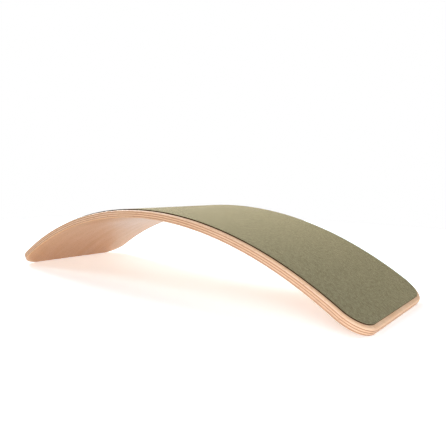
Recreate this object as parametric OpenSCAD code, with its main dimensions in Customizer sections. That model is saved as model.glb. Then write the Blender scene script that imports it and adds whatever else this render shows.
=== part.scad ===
// Curved balance board: a pressed beech laminate with a wool felt cover on its convex face.
// It stands arch up, on the lower edges of its two ends.
// X runs along the board, Y across it and Z up, and the origin is on the floor under the middle.

/* [Bend] */
// Radius of the hollow underside
inside_radius = 735; // [600:5:1000]
// Half of the angle that the bent middle turns through, in degrees
bend_half_angle = 32.4; // [24:0.1:40]
// Straight run at each end, from the bend to where the corners start
end_straight = 4; // [2:1:60]

/* [Outline] */
// Width of the board, from edge to edge
board_width = 300; // [240:5:400]
// Radius of the four corners, on the flat board
corner_radius = 48; // [25:1:80]
// Radius of the rounded edge above and below, all the way round
edge_radius = 3.5; // [1:0.1:5]

/* [Laminate] */
// Thickness of one beech veneer
veneer_thickness = 1.3; // [1:0.1:2]

/* [Felt] */
// Thickness of the wool felt
felt_thickness = 2; // [1:0.1:5]
// Thickness of the adhesive film under the felt
film_thickness = 0.2; // [0.1:0.05:0.5]
// Bare wood left round the felt, in from the edge of the board
felt_margin = 8; // [5:0.5:20]
// Radius of the felt's soft upper edge
felt_edge_radius = 0.8; // [0.2:0.1:0.9]

/* [Hidden] */
$fn = 192;

// The layers are numbered from the underside up: the veneers, then the film and the felt
veneer_count = 11;
film_layer = veneer_count;
felt_layer = veneer_count + 1;

// Heights of the faces above the underside, square to the board
wood_top = veneer_count * veneer_thickness;
film_top = wood_top + film_thickness;
felt_top = film_top + felt_thickness;

// Length of the straight end, round corners included
end_length = end_straight + corner_radius;
// Height of the bend's axis, which puts the lowest point of the rounded end edges on the floor
axis_height = edge_radius - (inside_radius + edge_radius) * cos(bend_half_angle)
    + (end_length - edge_radius) * sin(bend_half_angle);

// Angle by which each half of the bend is swept past the middle before it is cut there
overrun_angle = 1;

// Colours of the veneers, by the way that their grain shows on the long edges, and of the felt
long_grain_colour = "#E3BE97";
cross_grain_colour = "#B98A62";
film_colour = "#D8CFB8";
felt_colour = "#7A755C";

// How far a layer's outline lies inside the board's
function inset(layer) = layer < veneer_count ? 0 : felt_margin;

// Slab that reaches out from x = 0, with its far corners rounded below and above
module rounded_slab(reach, low, high, round_low, round_high) {
    round_most = max(round_low, round_high);
    translate([0, low])
        square([reach - round_most, high - low]);
    translate([0, low + round_low])
        square([reach, high - low - round_low - round_high]);
    if (round_low > 0)
        translate([reach - round_low, low + round_low])
            circle(r = round_low);
    if (round_high > 0)
        translate([reach - round_high, high - round_high])
            circle(r = round_high);
}

// Section of one layer, from a plane inside the board to the layer's own edge
module layer_section(layer, reach) {
    if (layer == felt_layer)
        rounded_slab(reach, film_top, felt_top, 0, felt_edge_radius);
    else if (layer == film_layer)
        translate([0, wood_top])
            square([reach, film_thickness]);
    else
        intersection() {
            rounded_slab(reach, 0, wood_top, edge_radius, edge_radius);
            translate([0, layer * veneer_thickness])
                square([reach, veneer_thickness]);
        }
}

// Section of one layer across the whole width
module full_section(layer) {
    for (side = [0, 1])
        mirror([side, 0])
            layer_section(layer, board_width / 2 - inset(layer));
}

// Half of one layer's bend, from the straight end's start plane to a little past the middle
module half_bend(layer) {
    translate([0, 0, -inside_radius])
        rotate([90, 0, 0])
            rotate([0, 0, 90])
                rotate_extrude(angle = bend_half_angle + overrun_angle)
                    translate([inside_radius, 0])
                        mirror([1, -1])
                            full_section(layer);
}

// Straight end of one layer, lying flat along X with its underside at z = 0
module flat_end(layer) {
    corner_reach = corner_radius - inset(layer);
    corner_y = board_width / 2 - corner_radius;
    rotate([90, 0, 90])
        linear_extrude(height = end_straight)
            full_section(layer);
    translate([end_straight, corner_y, 0])
        rotate([90, 0, 0])
            linear_extrude(height = 2 * corner_y)
                layer_section(layer, corner_reach);
    translate([end_straight, corner_y, 0])
        rotate_extrude(angle = 90)
            layer_section(layer, corner_reach);
    translate([end_straight, -corner_y, 0])
        rotate([0, 0, -90])
            rotate_extrude(angle = 90)
                layer_section(layer, corner_reach);
}

// One end of the board with its half of the bend, cut at the middle, round the bend's axis
module half_layer(layer) {
    intersection() {
        rotate([0, bend_half_angle, 0])
            translate([0, 0, inside_radius]) {
                half_bend(layer);
                flat_end(layer);
            }
        translate([0, -board_width, 0])
            cube(2 * [inside_radius, board_width, inside_radius]);
    }
}

// One whole layer of the board, in its place
module bent_layer(layer) {
    translate([0, 0, axis_height])
        for (side = [0, 1])
            mirror([side, 0, 0])
                half_layer(layer);
}

// Face veneer of the hollow underside, which carries the board on its rounded ends
module ply_01_underside() {
    color(long_grain_colour)
        bent_layer(0);
}

// Veneers of the core, long grain but for every third, whose grain runs across the board
module ply_02_long() {
    color(long_grain_colour)
        bent_layer(1);
}

module ply_03_cross() {
    color(cross_grain_colour)
        bent_layer(2);
}

module ply_04_long() {
    color(long_grain_colour)
        bent_layer(3);
}

module ply_05_long() {
    color(long_grain_colour)
        bent_layer(4);
}

module ply_06_cross() {
    color(cross_grain_colour)
        bent_layer(5);
}

module ply_07_long() {
    color(long_grain_colour)
        bent_layer(6);
}

module ply_08_long() {
    color(long_grain_colour)
        bent_layer(7);
}

module ply_09_cross() {
    color(cross_grain_colour)
        bent_layer(8);
}

module ply_10_long() {
    color(long_grain_colour)
        bent_layer(9);
}

// Face veneer of the convex side, bare in a margin round the felt
module ply_11_upper_face() {
    color(long_grain_colour)
        bent_layer(10);
}

// Adhesive film between the wood and the felt, cut to the felt's outline
module felt_adhesive_film() {
    color(film_colour)
        bent_layer(film_layer);
}

// Wool felt, one cut piece that covers the convex face inside its margin
module felt_cover() {
    color(felt_colour)
        bent_layer(felt_layer);
}

ply_01_underside();
ply_02_long();
ply_03_cross();
ply_04_long();
ply_05_long();
ply_06_cross();
ply_07_long();
ply_08_long();
ply_09_cross();
ply_10_long();
ply_11_upper_face();
felt_adhesive_film();
felt_cover();
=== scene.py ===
import math

import bpy
from mathutils import Matrix, Vector


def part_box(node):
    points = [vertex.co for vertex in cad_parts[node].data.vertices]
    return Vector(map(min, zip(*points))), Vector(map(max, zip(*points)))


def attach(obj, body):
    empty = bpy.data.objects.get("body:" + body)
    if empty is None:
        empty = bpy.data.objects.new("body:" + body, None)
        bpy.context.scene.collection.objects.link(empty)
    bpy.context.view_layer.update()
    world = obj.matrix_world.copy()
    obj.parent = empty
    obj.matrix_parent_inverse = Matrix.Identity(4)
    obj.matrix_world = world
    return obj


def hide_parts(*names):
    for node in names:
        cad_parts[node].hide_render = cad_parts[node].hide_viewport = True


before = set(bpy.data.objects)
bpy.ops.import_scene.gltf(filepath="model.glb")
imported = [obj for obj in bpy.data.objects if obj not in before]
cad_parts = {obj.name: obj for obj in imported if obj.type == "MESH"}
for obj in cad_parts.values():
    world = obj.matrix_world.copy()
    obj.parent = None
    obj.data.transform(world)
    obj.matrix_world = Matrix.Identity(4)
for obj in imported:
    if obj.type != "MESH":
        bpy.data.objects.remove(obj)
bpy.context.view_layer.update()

# Beech veneers
# Eleven leaves of peeled beech, glued one on another in a curved press, so that the stack keeps its arch.
# Every third leaf has its grain across the board. The trimmed edge is rounded above and below.
MM = 0.001
INSIDE_RADIUS = 735 * MM
BEND_HALF_ANGLE = math.radians(32.4)
END_STRAIGHT = 4 * MM
CORNER_RADIUS = 48 * MM
EDGE_RADIUS = 3.5 * MM
LEAF_THICKNESS = 1.3 * MM
VENEER_NODES = sorted(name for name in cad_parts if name.startswith("ply_"))
WOOD_TOP = LEAF_THICKNESS * len(VENEER_NODES)
BEND_HALF_LENGTH = INSIDE_RADIUS * BEND_HALF_ANGLE
BOARD_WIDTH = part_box("ply_06_cross")[1].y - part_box("ply_06_cross")[0].y
AXIS_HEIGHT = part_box("ply_11_upper_face")[1].z - INSIDE_RADIUS - WOOD_TOP


def add(tree, kind, inputs=(), **settings):
    """Adds a node with its settings. Each input gets a value, a socket, or a node's first output."""
    made = tree.nodes.new(kind)
    for name, value in settings.items():
        setattr(made, name, value)
    for name, value in dict(inputs).items():
        if isinstance(value, bpy.types.Node):
            value = next(socket for socket in value.outputs if socket.enabled)
        if isinstance(value, bpy.types.NodeSocket):
            tree.links.new(value, made.inputs[name])
        else:
            made.inputs[name].default_value = value
    return made


# One layer of the board as a rule: a block of cells is drawn out to the round-cornered outline, its rim
# follows the rounded edge, and the flat layer is then bent round the press's axis, with its ends straight.
# The sizes that all layers share are here, and each layer sets its own over the rest.
LAYER_SIZES = {
    "Inside Radius": INSIDE_RADIUS, "Bend Half Length": BEND_HALF_LENGTH, "Axis Height": AXIS_HEIGHT,
    "Straight Half Length": BEND_HALF_LENGTH + END_STRAIGHT,
    "Straight Half Width": BOARD_WIDTH / 2 - CORNER_RADIUS, "Corner Radius": CORNER_RADIUS,
    "Low": 0.0, "High": LEAF_THICKNESS, "Outline Inset": 0.0,
    "Round Middle": WOOD_TOP / 2, "Round Reach": WOOD_TOP / 2, "Round Radius": EDGE_RADIUS,
    "Relief": 0.0, "Relief Wave": 1.0}
LAYER_COUNTS = {"Cells Along": 128, "Cells Across": 32, "Cells Deep": 8, "Leaf Number": 0}
# Shares of the cells, along and across, that make the straight middle. The rest make the corners.
STRAIGHT_SHARES = (0.875, 0.5, 1)
CORNER_SHARES = (0.125, 0.5, 1)
# How far one leaf's figure lies from the next one's in the pattern, so that no two leaves match
LEAF_SHIFT = (1.37, 0.71, 0.23)
CRISP_ANGLE = math.radians(35)
layer_tree = bpy.data.node_groups.new("bent_layer", "GeometryNodeTree")
layer_tree.is_modifier = True
layer_tree.interface.new_socket("Geometry", in_out="OUTPUT", socket_type="NodeSocketGeometry")
layer_sockets = {}
for name, size in LAYER_SIZES.items():
    layer_sockets[name] = layer_tree.interface.new_socket(name, socket_type="NodeSocketFloat")
    layer_sockets[name].default_value = size
for name, count in LAYER_COUNTS.items():
    layer_sockets[name] = layer_tree.interface.new_socket(name, socket_type="NodeSocketInt")
    layer_sockets[name].default_value = count
layer_sockets["Material"] = layer_tree.interface.new_socket("Material", socket_type="NodeSocketMaterial")


def build_layer_tree(tree):
    """The nodes of one bent layer."""
    sums = "ShaderNodeMath"
    vectors = "ShaderNodeVectorMath"
    given = add(tree, "NodeGroupInput").outputs
    counts = [add(tree, sums, {0: given[name], 1: 1}, operation="ADD")
              for name in ("Cells Along", "Cells Across", "Cells Deep")]
    block = add(tree, "GeometryNodeMeshCube", {
        "Size": (2, 2, 1), "Vertices X": counts[0], "Vertices Y": counts[1], "Vertices Z": counts[2]})
    cell = add(tree, "GeometryNodeInputPosition")
    cell_depth = add(tree, "ShaderNodeSeparateXYZ", {0: cell}).outputs["Z"]

    # Height above the underside, and how far the rounded edge draws the rim in at that height
    depth_share = add(tree, sums, {0: cell_depth, 1: 0.5}, operation="ADD")
    thickness = add(tree, sums, {0: given["High"], 1: given["Low"]}, operation="SUBTRACT")
    height = add(tree, sums, {0: depth_share, 1: thickness, 2: given["Low"]}, operation="MULTIPLY_ADD")
    off_middle = add(tree, sums, {0: height, 1: given["Round Middle"]}, operation="SUBTRACT")
    off_middle = add(tree, sums, {0: off_middle}, operation="ABSOLUTE")
    flat_reach = add(tree, sums, {0: given["Round Reach"], 1: given["Round Radius"]}, operation="SUBTRACT")
    rise = add(tree, sums, {0: off_middle, 1: flat_reach}, operation="SUBTRACT")
    rise = add(tree, sums, {0: rise, 1: 0}, operation="MAXIMUM")
    rise_square = add(tree, sums, {0: rise, 1: 2}, operation="POWER")
    radius_square = add(tree, sums, {0: given["Round Radius"], 1: 2}, operation="POWER")
    run_square = add(tree, sums, {0: radius_square, 1: rise_square}, operation="SUBTRACT")
    run_square = add(tree, sums, {0: run_square, 1: 0}, operation="MAXIMUM")
    run = add(tree, sums, {0: run_square}, operation="SQRT")
    drawn_in = add(tree, sums, {0: given["Round Radius"], 1: run}, operation="SUBTRACT")
    drawn_in = add(tree, sums, {0: drawn_in, 1: given["Outline Inset"]}, operation="ADD")
    corner = add(tree, sums, {0: given["Corner Radius"], 1: drawn_in}, operation="SUBTRACT")

    # The outline: straight cells in the middle, and corner cells whose square becomes a quarter disc
    straight_reach = add(tree, "ShaderNodeCombineXYZ", {
        "X": given["Straight Half Length"], "Y": given["Straight Half Width"]})
    side = add(tree, vectors, {0: cell}, operation="SIGN")
    spread = add(tree, vectors, {0: cell}, operation="ABSOLUTE")
    straight = add(tree, vectors, {0: spread, 1: STRAIGHT_SHARES}, operation="MINIMUM")
    straight = add(tree, vectors, {0: straight, 1: STRAIGHT_SHARES}, operation="DIVIDE")
    straight = add(tree, vectors, {0: straight, 1: straight_reach}, operation="MULTIPLY")
    square = add(tree, vectors, {0: spread, 1: STRAIGHT_SHARES}, operation="SUBTRACT")
    square = add(tree, vectors, {0: square, 1: (0, 0, 0)}, operation="MAXIMUM")
    square = add(tree, vectors, {0: square, 1: CORNER_SHARES}, operation="DIVIDE")
    square_parts = add(tree, "ShaderNodeSeparateXYZ", {0: square}).outputs
    crossed = add(tree, "ShaderNodeCombineXYZ", {"X": square_parts["Y"], "Y": square_parts["X"]})
    crossed = add(tree, vectors, {0: crossed, 1: crossed}, operation="MULTIPLY")
    crossed = add(tree, vectors, {0: crossed, 1: (-0.5, -0.5, 0), 2: (1, 1, 0)}, operation="MULTIPLY_ADD")
    crossed = add(tree, vectors, {0: crossed, 1: (0.5, 0.5, 1)}, operation="POWER")
    disc = add(tree, vectors, {0: square, 1: crossed}, operation="MULTIPLY")
    disc = add(tree, vectors, {0: disc, "Scale": corner}, operation="SCALE")
    outline = add(tree, vectors, {0: straight, 1: disc}, operation="ADD")
    outline = add(tree, vectors, {0: outline, 1: side}, operation="MULTIPLY")
    outline_parts = add(tree, "ShaderNodeSeparateXYZ", {0: outline}).outputs
    flat_place = add(tree, "ShaderNodeCombineXYZ", {
        "X": outline_parts["X"], "Y": outline_parts["Y"], "Z": height})
    flat = add(tree, "GeometryNodeSetPosition", {"Geometry": block, "Position": flat_place})

    # What the finish needs to know: the place on the flat layer, and which way each face looks there
    place = add(tree, "GeometryNodeInputPosition")
    leaf_shift = add(tree, vectors, {0: LEAF_SHIFT, "Scale": given["Leaf Number"]}, operation="SCALE")
    leaf_place = add(tree, vectors, {0: place, 1: leaf_shift}, operation="ADD")
    flat = add(tree, "GeometryNodeStoreNamedAttribute", {
        "Geometry": flat, "Name": "leaf_place", "Value": leaf_place},
        data_type="FLOAT_VECTOR", domain="POINT")
    flat = add(tree, "GeometryNodeStoreNamedAttribute", {
        "Geometry": flat, "Name": "leaf_depth", "Value": depth_share}, data_type="FLOAT", domain="POINT")
    flat = add(tree, "GeometryNodeStoreNamedAttribute", {
        "Geometry": flat, "Name": "flat_normal", "Value": add(tree, "GeometryNodeInputNormal")},
        data_type="FLOAT_VECTOR", domain="FACE")

    # Uneven face of a soft layer, most at its top and none at its underside
    place_parts = add(tree, "ShaderNodeSeparateXYZ", {0: place}).outputs
    fineness = add(tree, sums, {0: 1, 1: given["Relief Wave"]}, operation="DIVIDE")
    swell = add(tree, "ShaderNodeTexNoise", {"Vector": place, "Scale": fineness, "Detail": 2})
    swell = add(tree, sums, {0: swell, 1: 0.5}, operation="SUBTRACT")
    swell = add(tree, sums, {0: swell, 1: given["Relief"]}, operation="MULTIPLY")
    above = add(tree, sums, {0: place_parts["Z"], 1: given["Low"]}, operation="SUBTRACT")
    above = add(tree, sums, {0: above, 1: thickness}, operation="DIVIDE")
    level = add(tree, sums, {0: swell, 1: above, 2: place_parts["Z"]}, operation="MULTIPLY_ADD")

    # The bend: the flat length is wound on to the press's radius, and the straight ends carry on from there
    other_end = add(tree, sums, {0: given["Bend Half Length"], 1: -1}, operation="MULTIPLY")
    along = add(tree, "ShaderNodeClamp", {
        "Value": place_parts["X"], "Min": other_end, "Max": given["Bend Half Length"]})
    beyond = add(tree, sums, {0: place_parts["X"], 1: along}, operation="SUBTRACT")
    angle = add(tree, sums, {0: along, 1: given["Inside Radius"]}, operation="DIVIDE")
    reach = add(tree, sums, {0: level, 1: given["Inside Radius"]}, operation="ADD")
    arm = add(tree, "ShaderNodeCombineXYZ", {"X": beyond, "Y": place_parts["Y"], "Z": reach})
    turned = add(tree, "ShaderNodeVectorRotate", {"Vector": arm, "Angle": angle}, rotation_type="Y_AXIS")
    axis = add(tree, "ShaderNodeCombineXYZ", {"Z": given["Axis Height"]})
    bent_place = add(tree, vectors, {0: turned, 1: axis}, operation="ADD")
    bent = add(tree, "GeometryNodeSetPosition", {"Geometry": flat, "Position": bent_place})

    # Smooth over the curves, and crisp where the side meets a face
    edge_angle = add(tree, "GeometryNodeInputMeshEdgeAngle")
    crisp = add(tree, "FunctionNodeCompare", {0: edge_angle, 1: CRISP_ANGLE}, operation="GREATER_THAN")
    bent = add(tree, "GeometryNodeSetShadeSmooth", {"Geometry": bent, "Shade Smooth": True}, domain="FACE")
    bent = add(tree, "GeometryNodeSetShadeSmooth", {
        "Geometry": bent, "Selection": crisp, "Shade Smooth": False}, domain="EDGE")
    whole = add(tree, "GeometryNodeRealizeInstances", {"Geometry": bent})
    whole = add(tree, "GeometryNodeSetMaterial", {"Geometry": whole, "Material": given["Material"]})
    add(tree, "NodeGroupOutput", {"Geometry": whole})


build_layer_tree(layer_tree)


def make_layer(name, sizes):
    """A layer as a plain mesh, made by the rule from its own sizes."""
    piece = bpy.data.objects.new(name, bpy.data.meshes.new(name))
    bpy.context.scene.collection.objects.link(piece)
    rule = piece.modifiers.new("bent_layer", "NODES")
    rule.node_group = layer_tree
    for size, value in sizes.items():
        rule[layer_sockets[size].identifier] = value
    graph = bpy.context.evaluated_depsgraph_get()
    made = bpy.data.meshes.new_from_object(
        piece.evaluated_get(graph), preserve_all_data_layers=True, depsgraph=graph)
    piece.modifiers.remove(rule)
    piece.data = made
    made.name = name
    # The block of cells starts with an empty material slot, which no face uses
    made.materials.pop(index=0)
    return piece


def linear(hex_code):
    """A colour written as sRGB hex, as the linear values that a shader takes."""
    shares = [int(hex_code[i:i + 2], 16) / 255 for i in (1, 3, 5)]
    return [c / 12.92 if c <= 0.04045 else ((c + 0.055) / 1.055) ** 2.4 for c in shares] + [1.0]


def new_finish(name):
    """An empty material, ready for its nodes."""
    material = bpy.data.materials.new(name)
    material.use_nodes = True
    material.node_tree.nodes.clear()
    return material


# Sockets of a Mix node that is set to colours
FACTOR, COLOUR_A, COLOUR_B = 0, 6, 7
BEECH_PALE = "#E1C3A7"
BEECH_TAN = "#D6AF89"
BEECH_FIBRE = "#C99A70"
BEECH_FLECK = "#AA7B56"
# Painted light: the end-grain tones are paler than the long grain, standing in for the strong light on the
# board's ends
BEECH_LIT_END = "#F4D1B2"
BEECH_LIT_END_DARK = "#D6AF8A"
# Each mark's size across and along the grain, and its detail. Fibres and flecks are drawn about three times
# as coarse as in beech, and pores ten times, so that they show at arm's length.
BEECH_MARKS = {
    "bands": (22 * MM, 420 * MM, 2),
    "fibres": (0.9 * MM, 45 * MM, 3),
    "flecks": (1.1 * MM, 7 * MM, 0),
    "pores": (0.5 * MM, 0.5 * MM, 2)}
# The colour that each mark brings, the noise at which it starts and is full, and its greatest share
BEECH_FIGURE = {
    "bands": (BEECH_TAN, 0.35, 0.65, 0.7),
    "fibres": (BEECH_FIBRE, 0.35, 0.7, 0.45),
    "flecks": (BEECH_FLECK, 0.66, 0.74, 0.5)}
# Where end grain starts and is full, as the share of a face's normal that lies along the grain
END_GRAIN_FACING = (0.25, 0.85)
# Where the trimmed edge starts and is full, as the upward share of a face's normal
TRIMMED_FACING = (0.95, 0.7)
GLUE_AMBER = "#A97B52"
GLUE_LINE = 0.12 * MM
GLUE_STRENGTH = 0.6
FIBRE_RIDGE = 0.08 * MM
RIDGE_STRENGTH = 0.12
LACQUER_IOR = 1.5
COAT_ROUGHNESS = 0.12
# The wood's roughness, from the least to the most, and the fibre noise at which it is so
SANDED_ROUGHNESS = (0.38, 0.5)
SANDED_RANGE = (0.3, 0.7)


def lacquered_beech(name, grain_axis, warmth, lacquer):
    """Beech, peeled, sanded and given a clear satin lacquer: pinkish tan, with soft growth bands, fine fibre
    lines and short brown ray flecks along the grain, and a pale gloss at low angles. Cut across, it is
    pricked with pores and painted paler, as painted light on the brightly lit ends."""
    material = new_finish(name)
    tree = material.node_tree
    place = add(tree, "ShaderNodeAttribute", attribute_name="leaf_place").outputs["Vector"]
    marks = {}
    for mark, (across, along, detail) in BEECH_MARKS.items():
        scale = [1 / across] * 3
        scale[grain_axis] = 1 / along
        drawn_out = add(tree, "ShaderNodeMapping", {"Vector": place, "Scale": scale})
        marks[mark] = add(tree, "ShaderNodeTexNoise", {"Vector": drawn_out, "Scale": 1, "Detail": detail})

    tone = linear(BEECH_PALE)
    for mark, (colour, start, full, most) in BEECH_FIGURE.items():
        share = add(tree, "ShaderNodeMapRange", {
            "Value": marks[mark], "From Min": start, "From Max": full, "To Max": most})
        tone = add(tree, "ShaderNodeMix", {
            FACTOR: share, COLOUR_A: tone, COLOUR_B: linear(colour)}, data_type="RGBA")

    # Cut ends of the fibres, by how squarely the face looks along the grain, painted paler as painted light
    # on the lit ends
    normal = add(tree, "ShaderNodeAttribute", attribute_name="flat_normal").outputs["Vector"]
    normal = add(tree, "ShaderNodeVectorMath", {0: normal}, operation="ABSOLUTE")
    normal_parts = add(tree, "ShaderNodeSeparateXYZ", {0: normal}).outputs
    lit_end_share = add(tree, "ShaderNodeMapRange", {
        "Value": normal_parts["XY"[grain_axis]],
        "From Min": END_GRAIN_FACING[0], "From Max": END_GRAIN_FACING[1]})
    lit_end_tone = add(tree, "ShaderNodeMix", {
        FACTOR: marks["pores"], COLOUR_A: linear(BEECH_LIT_END_DARK), COLOUR_B: linear(BEECH_LIT_END)},
        data_type="RGBA")
    tone = add(tree, "ShaderNodeMix", {
        FACTOR: lit_end_share, COLOUR_A: tone, COLOUR_B: lit_end_tone}, data_type="RGBA")

    # Amber glue line at the top and bottom of the leaf, on its trimmed edge
    depth = add(tree, "ShaderNodeAttribute", attribute_name="leaf_depth").outputs["Fac"]
    from_middle = add(tree, "ShaderNodeMath", {0: depth, 1: 0.5}, operation="SUBTRACT")
    from_middle = add(tree, "ShaderNodeMath", {0: from_middle}, operation="ABSOLUTE")
    glue_share = add(tree, "ShaderNodeMapRange", {
        "Value": from_middle, "From Min": 0.5 - GLUE_LINE / LEAF_THICKNESS, "From Max": 0.5,
        "To Max": GLUE_STRENGTH})
    edge_share = add(tree, "ShaderNodeMapRange", {
        "Value": normal_parts["Z"], "From Min": TRIMMED_FACING[0], "From Max": TRIMMED_FACING[1]})
    glue_share = add(tree, "ShaderNodeMath", {0: glue_share, 1: edge_share}, operation="MULTIPLY")
    tone = add(tree, "ShaderNodeMix", {
        FACTOR: glue_share, COLOUR_A: tone, COLOUR_B: linear(GLUE_AMBER)}, data_type="RGBA")

    # The leaf's own warmth, which multiplies the figure
    tone = add(tree, "ShaderNodeMix", {
        FACTOR: 1, COLOUR_A: tone, COLOUR_B: linear(warmth)}, data_type="RGBA", blend_type="MULTIPLY")
    gloss = add(tree, "ShaderNodeMapRange", {
        "Value": marks["fibres"], "From Min": SANDED_RANGE[0], "From Max": SANDED_RANGE[1],
        "To Min": SANDED_ROUGHNESS[0], "To Max": SANDED_ROUGHNESS[1]})
    ridges = add(tree, "ShaderNodeBump", {
        "Height": marks["fibres"], "Strength": RIDGE_STRENGTH, "Distance": FIBRE_RIDGE})
    shader = add(tree, "ShaderNodeBsdfPrincipled", {
        "Base Color": tone, "Roughness": gloss, "Normal": ridges, "IOR": LACQUER_IOR,
        "Specular IOR Level": lacquer, "Coat Weight": lacquer, "Coat Roughness": COAT_ROUGHNESS,
        "Coat IOR": LACQUER_IOR})
    add(tree, "ShaderNodeOutputMaterial", {"Surface": shader})
    return material


# Axes of the flat leaf that the grain may follow
ALONG, ACROSS = 0, 1
# Tints that multiply each kind of leaf's figure. The leaves laid across are brown lines on the long edges.
CORE_WARMTH = "#FFFBF8"
CROSS_WARMTH = "#C2A495"
UNDERSIDE_WARMTH = "#FFE9CE"
# The underside keeps a full coat of lacquer, and the sanded edges and the margin only a thin one
FACE_LACQUER = 0.3
EDGE_LACQUER = 0.05
beech = {
    "underside": lacquered_beech("beech_face_veneer_lacquered", ALONG, UNDERSIDE_WARMTH, FACE_LACQUER),
    "long": lacquered_beech("beech_long_grain_lacquered", ALONG, CORE_WARMTH, EDGE_LACQUER),
    "cross": lacquered_beech("beech_cross_grain_lacquered", ACROSS, CROSS_WARMTH, EDGE_LACQUER)}
for number, node in enumerate(VENEER_NODES):
    grain = "cross" if node.endswith("cross") else "long"
    leaf = make_layer(node.replace("ply", "veneer"), {
        "Low": number * LEAF_THICKNESS, "High": (number + 1) * LEAF_THICKNESS, "Leaf Number": number,
        "Material": beech["underside" if number == 0 else grain]})
    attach(leaf, "root")
    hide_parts(node)

# Adhesive film
# A thin acrylic transfer film that holds the felt to the wood. It is rolled on to the back of the felt and
# cut with it, so only its rim shows, as a thin line at the felt's foot, coloured dark as painted shade
# there.
FILM_THICKNESS = 0.2 * MM
FELT_MARGIN = 8 * MM
# Painted shade: both film tones are darkened brown for the shade at the felt's foot
FILM_WET_AND_SHADE = "#5E4A33"
FILM_MILKY_AND_SHADE = "#85735A"
FILM_BLOTCH = 6 * MM
FILM_ROUGHNESS = 0.35
ACRYLIC_IOR = 1.47


def transfer_film(name):
    """Acrylic transfer adhesive: a milky, slightly glossy skin, blotched where it has wetted the wood, its
    tones darkened as painted shade at the felt's foot.
    """
    material = new_finish(name)
    tree = material.node_tree
    place = add(tree, "ShaderNodeAttribute", attribute_name="leaf_place").outputs["Vector"]
    blotch = add(tree, "ShaderNodeTexNoise", {"Vector": place, "Scale": 1 / FILM_BLOTCH, "Detail": 2})
    tone = add(tree, "ShaderNodeMix", {
        FACTOR: blotch, COLOUR_A: linear(FILM_WET_AND_SHADE), COLOUR_B: linear(FILM_MILKY_AND_SHADE)}, data_type="RGBA")
    shader = add(tree, "ShaderNodeBsdfPrincipled", {
        "Base Color": tone, "Roughness": FILM_ROUGHNESS, "IOR": ACRYLIC_IOR})
    add(tree, "ShaderNodeOutputMaterial", {"Surface": shader})
    return material


film = make_layer("felt_film", {
    "Low": WOOD_TOP, "High": WOOD_TOP + FILM_THICKNESS, "Outline Inset": FELT_MARGIN,
    "Round Middle": WOOD_TOP, "Round Reach": FILM_THICKNESS, "Round Radius": 0.0,
    "Cells Deep": 1, "Leaf Number": len(VENEER_NODES),
    "Material": transfer_film("acrylic_transfer_film")})
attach(film, "root")
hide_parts("felt_adhesive_film")

# Felt cover
# One piece of pressed wool felt, cut to the board's outline less a margin of bare wood and stuck down on the
# convex face, where it grips the floor when the board is turned over. Its cut rim is coloured dark brown as
# painted shade along the felt's edge.
FELT_THICKNESS = 2 * MM
FELT_EDGE_RADIUS = 0.8 * MM
FELT_RELIEF = 0.24 * MM
FELT_WAVE = 6 * MM
FELT_CELLS = (384, 96)
FELT_BOTTOM = WOOD_TOP + FILM_THICKNESS
FELT_TOP = FELT_BOTTOM + FELT_THICKNESS
WOOL_IOR = 1.45
WOOL_SHINE = 0.2
FELT_ROUGHNESS = 0.95
FELT_OLIVE = "#64614B"
FELT_DARK = "#3D3A2A"
FELT_MOTTLE = 5 * MM
MOTTLE_GRIT = 0.6
FELT_WARM = "#595542"
FELT_CLOUD = 28 * MM
CLOUD_MOST = 0.35
# The noise at which the mottling and the clouds start and are full
MOTTLE_RANGE = (0.35, 0.65)
# Wool fibres are about 0.03 mm thick. The lines stand for bundles of them, drawn coarse enough to show.
FELT_LIGHT_HAIR = "#706B54"
FELT_DARK_HAIR = "#383528"
HAIR_LENGTH = 5 * MM
HAIR_SPACING = 0.6 * MM
HAIR_CROOK = 1.6
HAIR_RANGE = (0.56, 0.7)
HAIR_MOST = 0.5
# The ways that the hairs lie, in degrees, and their colours
HAIRS = ((15, FELT_LIGHT_HAIR), (75, FELT_DARK_HAIR), (135, FELT_LIGHT_HAIR))
PILE_HEIGHT = 0.4 * MM
PILE_STRENGTH = 0.55
FELT_BLOOM = "#DCCC9C"
BLOOM_WEIGHT = 0.53
BLOOM_ROUGHNESS = 0.42
# Painted sheen: a paler felt tone on the rounded edge stands in for the light it catches
FELT_EDGE_SHEEN = "#8F8A6C"
EDGE_SHEEN_MOST = 0.7
# The painted sheen on the rounded edge starts and is full, and the painted shade of the cut rim starts, at
# these upward shares of a face's normal
EDGE_SHEEN_FACING = (0.98, 0.9)
SHADED_RIM_FACING = 0.6
# Painted shade: the cut rim's dark browns stand in for the shade along the felt's edge
RIM_SHADE_BROWN = "#4A2D15"
RIM_SHADE_DARK = "#25160A"
RIM_SHINE = 0.1
RIM_TUFT = 1.5 * MM
TUFT_HEIGHT = 0.2 * MM
TUFT_STRENGTH = 0.5


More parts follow.
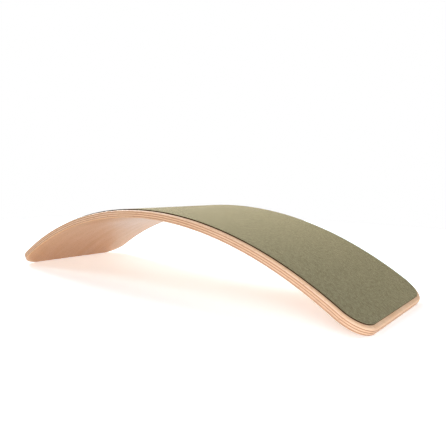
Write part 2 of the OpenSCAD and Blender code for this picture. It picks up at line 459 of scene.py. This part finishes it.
def wool_felt(name):
    """Wool felt, needled and pressed from dyed fibres: matt, mottled olive with lighter and darker hairs
    lying every way, a soft pebbled face and a pale bloom of fuzz at low angles."""
    material = new_finish(name)
    tree = material.node_tree
    place = add(tree, "ShaderNodeAttribute", attribute_name="leaf_place").outputs["Vector"]
    clouds = add(tree, "ShaderNodeTexNoise", {"Vector": place, "Scale": 1 / FELT_CLOUD, "Detail": 2})
    mottle = add(tree, "ShaderNodeTexNoise", {
        "Vector": place, "Scale": 1 / FELT_MOTTLE, "Detail": 3, "Roughness": MOTTLE_GRIT})
    mottle_share = add(tree, "ShaderNodeMapRange", {
        "Value": mottle, "From Min": MOTTLE_RANGE[0], "From Max": MOTTLE_RANGE[1]})
    tone = add(tree, "ShaderNodeMix", {
        FACTOR: mottle_share, COLOUR_A: linear(FELT_DARK), COLOUR_B: linear(FELT_OLIVE)}, data_type="RGBA")
    cloud_share = add(tree, "ShaderNodeMapRange", {
        "Value": clouds, "From Min": MOTTLE_RANGE[0], "From Max": MOTTLE_RANGE[1], "To Max": CLOUD_MOST})
    tone = add(tree, "ShaderNodeMix", {
        FACTOR: cloud_share, COLOUR_A: tone, COLOUR_B: linear(FELT_WARM)}, data_type="RGBA")

    # Hairs: thin crooked lines that lie in three directions
    relief = mottle
    for turn, colour in HAIRS:
        lying = add(tree, "ShaderNodeMapping", {
            "Vector": place, "Rotation": (0, 0, math.radians(turn)),
            "Scale": (1 / HAIR_LENGTH, 1 / HAIR_SPACING, 1 / HAIR_LENGTH)})
        hairs = add(tree, "ShaderNodeTexNoise", {
            "Vector": lying, "Scale": 1, "Detail": 2, "Distortion": HAIR_CROOK})
        hair_share = add(tree, "ShaderNodeMapRange", {
            "Value": hairs, "From Min": HAIR_RANGE[0], "From Max": HAIR_RANGE[1], "To Max": HAIR_MOST})
        tone = add(tree, "ShaderNodeMix", {
            FACTOR: hair_share, COLOUR_A: tone, COLOUR_B: linear(colour)}, data_type="RGBA")
        relief = add(tree, "ShaderNodeMath", {0: relief, 1: hairs}, operation="ADD")

    # Painted sheen: the felt is made paler on its rounded edge, standing in for the light it catches there
    normal = add(tree, "ShaderNodeAttribute", attribute_name="flat_normal").outputs["Vector"]
    upward = add(tree, "ShaderNodeSeparateXYZ", {0: normal}).outputs["Z"]
    edge_sheen_share = add(tree, "ShaderNodeMapRange", {
        "Value": upward, "From Min": EDGE_SHEEN_FACING[0], "From Max": EDGE_SHEEN_FACING[1], "To Max": EDGE_SHEEN_MOST})
    tone = add(tree, "ShaderNodeMix", {
        FACTOR: edge_sheen_share, COLOUR_A: tone, COLOUR_B: linear(FELT_EDGE_SHEEN)}, data_type="RGBA")

    pile = add(tree, "ShaderNodeBump", {
        "Height": relief, "Strength": PILE_STRENGTH, "Distance": PILE_HEIGHT})
    shader = add(tree, "ShaderNodeBsdfPrincipled", {
        "Base Color": tone, "Normal": pile, "Roughness": FELT_ROUGHNESS, "IOR": WOOL_IOR,
        "Specular IOR Level": WOOL_SHINE, "Sheen Weight": BLOOM_WEIGHT, "Sheen Roughness": BLOOM_ROUGHNESS,
        "Sheen Tint": linear(FELT_BLOOM)})
    add(tree, "ShaderNodeOutputMaterial", {"Surface": shader})
    return material


def painted_shade_cut_felt(name):
    """The same felt where the knife went through it, coloured dark brown as painted shade along the felt's
    edge: dull, with no bloom.
    """
    material = new_finish(name)
    tree = material.node_tree
    place = add(tree, "ShaderNodeAttribute", attribute_name="leaf_place").outputs["Vector"]
    tufts = add(tree, "ShaderNodeTexNoise", {"Vector": place, "Scale": 1 / RIM_TUFT, "Detail": 3})
    tone = add(tree, "ShaderNodeMix", {
        FACTOR: tufts, COLOUR_A: linear(RIM_SHADE_DARK), COLOUR_B: linear(RIM_SHADE_BROWN)}, data_type="RGBA")
    ends = add(tree, "ShaderNodeBump", {
        "Height": tufts, "Strength": TUFT_STRENGTH, "Distance": TUFT_HEIGHT})
    shader = add(tree, "ShaderNodeBsdfPrincipled", {
        "Base Color": tone, "Normal": ends, "Roughness": FELT_ROUGHNESS, "IOR": WOOL_IOR,
        "Specular IOR Level": RIM_SHINE})
    add(tree, "ShaderNodeOutputMaterial", {"Surface": shader})
    return material


felt = make_layer("felt_sheet", {
    "Low": FELT_BOTTOM, "High": FELT_TOP, "Outline Inset": FELT_MARGIN,
    "Round Middle": FELT_BOTTOM, "Round Reach": FELT_THICKNESS, "Round Radius": FELT_EDGE_RADIUS,
    "Relief": FELT_RELIEF, "Relief Wave": FELT_WAVE,
    "Cells Along": FELT_CELLS[0], "Cells Across": FELT_CELLS[1],
    "Material": wool_felt("wool_felt_pressed_olive")})
# The painted shade goes on the cut rim, the faces that look mostly sideways
felt.data.materials.append(painted_shade_cut_felt("wool_felt_cut_rim_painted_shade"))
flat_normals = felt.data.attributes["flat_normal"].data
for face in felt.data.polygons:
    if abs(flat_normals[face.index].vector.z) < SHADED_RIM_FACING:
        face.material_index = 1
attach(felt, "root")
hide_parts("felt_cover")

# Floor
# A white paper sweep. For the camera and in reflections it is lifted to white where most of the light
# reaches it, so that only the deep shade under the two ends shows, warm from the wood above and painted
# warmer still, as less of the shade shows in red.
FLOOR_HALF = 1.6
PAPER_WHITE = "#F3F3F3"
# The light at which the paper reaches white, and the share of the shade that shows in red, green and blue
FLOOR_LIGHT = 0.62
FLOOR_SHADE_SHARES = (0.7, 0.94, 1.0)


def seen_directly(tree):
    """1 for a ray from the camera, or one that a surface mirrors or lets through, and 0 for scattered
    light."""
    rays = add(tree, "ShaderNodeLightPath").outputs
    clear = add(tree, "ShaderNodeMath", {
        0: rays["Is Glossy Ray"], 1: rays["Is Transmission Ray"]}, operation="MAXIMUM")
    return add(tree, "ShaderNodeMath", {0: rays["Is Camera Ray"], 1: clear}, operation="MAXIMUM")


floor_mesh = bpy.data.meshes.new("studio_floor")
floor_mesh.from_pydata(
    [(x * FLOOR_HALF, y * FLOOR_HALF, 0) for x, y in ((-1, -1), (1, -1), (1, 1), (-1, 1))],
    [], [(0, 1, 2, 3)])
floor = bpy.data.objects.new("studio_floor", floor_mesh)
bpy.context.scene.collection.objects.link(floor)
paper = new_finish("white_paper_sweep")
tree = paper.node_tree
plain = add(tree, "ShaderNodeBsdfDiffuse", {"Color": linear(PAPER_WHITE)})
shade = add(tree, "ShaderNodeBsdfDiffuse", {"Color": (*FLOOR_SHADE_SHARES, 1)})
lift = add(tree, "ShaderNodeEmission", {
    "Color": [1 - FLOOR_LIGHT * share for share in FLOOR_SHADE_SHARES] + [1], "Strength": 1.0})
seen = add(tree, "ShaderNodeAddShader", {0: shade, 1: lift})
mixed = add(tree, "ShaderNodeMixShader", {0: seen_directly(tree), 1: plain, 2: seen})
add(tree, "ShaderNodeOutputMaterial", {"Surface": mixed})
floor_mesh.materials.append(paper)

# Light
# A white room with wide soft banks all round it, most of them low, so that light reaches in under the arch
# and the shade stays where the ends come down. The strongest stands beyond the left-hand end.
ROOM_LIGHT = 0.02
BANK_SPREAD = math.radians(30)
# Where each bank stands, in degrees round from the right-hand end and degrees up, and its strength
SOFT_BANKS = {
    "left_bank": (160, 32, 3.2),
    "back_left_bank": (132, 12, 2.1),
    "back_right_bank": (45, 25, 1.05),
    "front_left_bank": (235, 55, 0.8),
    "front_right_bank": (312, 12, 1.38),
    "right_bank": (352, 6, 0.6)}
# A small lamp by the camera, a little cool, brightens the near edge towards the right-hand end
NEAR_LAMP_PLACE = Vector((0.6, -0.66, 0.12))
NEAR_LAMP_SIZE = 0.4
NEAR_LAMP_COOL = (0.88, 1.0, 1.22)
NEAR_LAMP_WATTS = 2.6
world = bpy.data.worlds.new("white_room")
bpy.context.scene.world = world
world.use_nodes = True
tree = world.node_tree
tree.nodes.clear()
room = add(tree, "ShaderNodeBackground", {"Color": (1, 1, 1, 1), "Strength": ROOM_LIGHT})
backdrop = add(tree, "ShaderNodeBackground", {"Color": (1, 1, 1, 1), "Strength": 1.0})
mixed = add(tree, "ShaderNodeMixShader", {0: seen_directly(tree), 1: room, 2: backdrop})
add(tree, "ShaderNodeOutputWorld", {"Surface": mixed})
for name, (around, up, strength) in SOFT_BANKS.items():
    lamp = bpy.data.lights.new(name, "SUN")
    lamp.angle = BANK_SPREAD
    lamp.energy = strength
    bank = bpy.data.objects.new(name, lamp)
    bank.rotation_euler = (0, math.radians(90 - up), math.radians(around))
    bpy.context.scene.collection.objects.link(bank)
near_lamp = bpy.data.lights.new("near_lamp", "AREA")
near_lamp.size = NEAR_LAMP_SIZE
near_lamp.energy = NEAR_LAMP_WATTS
near_lamp.color = NEAR_LAMP_COOL
near_box = bpy.data.objects.new("near_lamp", near_lamp)
near_box.location = NEAR_LAMP_PLACE
near_box.rotation_euler = NEAR_LAMP_PLACE.to_track_quat("Z", "Y").to_euler()
bpy.context.scene.collection.objects.link(near_box)

# Camera
# Low beside the right-hand end, looking back along the arch. Its turn, dip and roll are in radians, and the
# optical centre lies off the middle of the frame, which the lens makes up by its shift.
PHOTO_WIDTH = 446
FOCAL_LENGTH_IN_PIXELS = 461.9
CAMERA_PLACE = (0.6608, -0.7390, 0.2138)
CAMERA_TURN = 0.6416
CAMERA_DIP = 0.0721
CAMERA_ROLL = 0.0187
OPTICAL_CENTRE = (233.8, 214.7)
lens = bpy.data.cameras.new("camera")
lens.lens = FOCAL_LENGTH_IN_PIXELS / PHOTO_WIDTH * lens.sensor_width
lens.shift_x = 0.5 - OPTICAL_CENTRE[0] / PHOTO_WIDTH
lens.shift_y = OPTICAL_CENTRE[1] / PHOTO_WIDTH - 0.5
camera = bpy.data.objects.new("camera", lens)
camera.matrix_world = (
    Matrix.Translation(CAMERA_PLACE)
    @ Matrix.Rotation(CAMERA_TURN, 4, "Z")
    @ Matrix.Rotation(math.pi / 2 - CAMERA_DIP, 4, "X")
    @ Matrix.Rotation(CAMERA_ROLL, 4, "Z"))
bpy.context.scene.collection.objects.link(camera)
bpy.context.scene.camera = camera
bpy.context.scene.view_settings.view_transform = "Standard"
